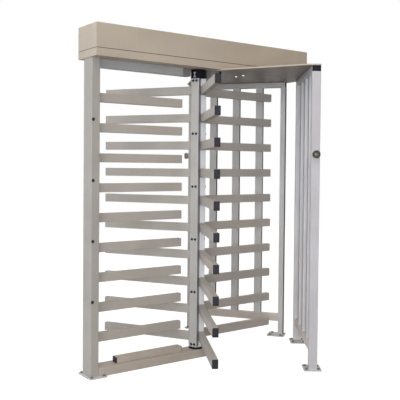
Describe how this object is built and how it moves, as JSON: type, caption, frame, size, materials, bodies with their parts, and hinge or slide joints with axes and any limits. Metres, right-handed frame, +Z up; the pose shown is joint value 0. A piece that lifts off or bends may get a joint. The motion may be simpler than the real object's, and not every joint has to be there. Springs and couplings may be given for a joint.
{
  "type": "full height turnstile",
  "caption": "Full height turnstile: a rotor with three wings of square-ended arms, a comb barrier, curved-in guide panels, a roof plate and a drive head, on floor plates.",
  "frame": {"origin": "on the floor, where the rotor's axis meets the underside of the sill", "axes": "+Z up along the rotor axis; +X along the head, from the comb side towards the passage side; +Y to the rear guide panel"},
  "size_m": [1.9101, 1.6086, 2.324],
  "materials": {
    "frame_paint": "satin silver-grey powder coat",
    "arm_paint": "satin warm grey-beige powder coat",
    "hood_paint": "satin beige powder coat",
    "roof_paint": "satin grey powder coat",
    "dark_plastic": "matt moulded nylon",
    "black_paint": "satin black paint",
    "screw_steel": "zinc plated",
    "lamp_rim": "satin white",
    "lamp_lens": "clear-frosted",
    "signal_shell": "moulded beige",
    "signal_face": "moulded, with a plain pale arrow",
    "machined_steel": "turned and milled",
    "bearing_steel": "ground",
    "zinc_steel": "galvanised",
    "cast_housing": "as cast, machined bore",
    "bronze": "turned bearing bronze",
    "solenoid_case": "dark enamel",
    "motor_case": "black enamel",
    "sensor_case": "orange moulding and steel bracket",
    "box_plastic": "moulded grey",
    "supply_case": "perforated sheet"
  },
  "bodies": {
    "frame": {"base_sill": "frame_paint", "sill_end_cap": "dark_plastic", "foot_plates": "frame_paint", "left_post": "frame_paint", "frame_screws": "screw_steel", "comb_arms": "arm_paint", "comb_floor_bar": "arm_paint", "comb_end_plugs": "dark_plastic", "head_rail": "frame_paint", "rail_end_blocks": "frame_paint", "head_tray": "hood_paint", "head_hood": "hood_paint", "head_beams": "zinc_steel", "drive_plate": "zinc_steel", "drive_bolts": "screw_steel", "roof_plate": "roof_paint", "spot_lamp_rims": "lamp_rim", "spot_lamp_lenses": "lamp_lens", "front_outer_post": "frame_paint", "front_inner_post": "frame_paint", "front_guide_bars": "frame_paint", "front_top_rail": "frame_paint", "front_low_rail": "frame_paint", "rear_outer_post": "frame_paint", "rear_inner_post": "frame_paint", "rear_guide_bars": "frame_paint", "rear_top_rail": "frame_paint", "rear_low_rail": "frame_paint", "guide_end_plugs": "dark_plastic", "signal_bodies": "signal_shell", "signal_lenses": "signal_face", "pivot_pin": "machined_steel", "bearing_outer": "bearing_steel", "bearing_housing": "cast_housing", "pawl_pivots": "machined_steel", "lock_solenoids": "solenoid_case", "drive_motor": "motor_case", "position_sensor": "sensor_case", "control_box": "box_plastic", "power_supply": "supply_case"},
    "rotor": {"column_uprights": "frame_paint", "wing_1_arms": "arm_paint", "wing_2_arms": "arm_paint", "wing_3_arms": "arm_paint", "wing_end_plugs": "dark_plastic", "column_core": "machined_steel", "column_screws": "screw_steel", "clamp_collar": "black_paint", "foot_disc": "black_paint", "pivot_bush": "bronze", "drive_shaft": "machined_steel", "bearing_inner": "bearing_steel", "lock_wheel": "machined_steel", "drive_gear": "machined_steel", "shaft_nut": "machined_steel"},
    "lock_pawl_in": {"lock_pawl_in": "machined_steel"},
    "lock_pawl_out": {"lock_pawl_out": "machined_steel"},
    "plunger_in": {"plunger_in": "machined_steel"},
    "plunger_out": {"plunger_out": "machined_steel"},
    "motor_output": {"motor_pinion": "machined_steel"}
  },
  "joints": [
    {"name": "rotor_spin", "type": "hinge", "parent": "frame", "child": "rotor", "pos_m": [0, 0, 0], "axis": [0, 0, 1], "continuous": true},
    {"name": "pawl_in_turn", "type": "hinge", "parent": "frame", "child": "lock_pawl_in", "pos_m": [-0.07, 0.088, 2.217], "axis": [0, 0, 1], "range_deg": [-13, 0]},
    {"name": "pawl_out_turn", "type": "hinge", "parent": "frame", "child": "lock_pawl_out", "pos_m": [-0.07, -0.088, 2.217], "axis": [0, 0, 1], "range_deg": [0, 13]},
    {"name": "plunger_in_travel", "type": "slide", "parent": "frame", "child": "plunger_in", "axis": [0, 1, 0], "range_m": [0, 0.0095]},
    {"name": "plunger_out_travel", "type": "slide", "parent": "frame", "child": "plunger_out", "axis": [0, -1, 0], "range_m": [0, 0.0095]},
    {"name": "motor_spin", "type": "hinge", "parent": "frame", "child": "motor_output", "pos_m": [0.12012, 0, 2.24], "axis": [0, 0, 1], "continuous": true}
  ],
  "couplings": [
    {"joint": "motor_spin", "follows": "rotor_spin", "ratio": -3},
    {"joint": "plunger_in_travel", "follows": "pawl_in_turn", "m_per_rad": -0.04},
    {"joint": "plunger_out_travel", "follows": "pawl_out_turn", "m_per_rad": 0.04}
  ]
}
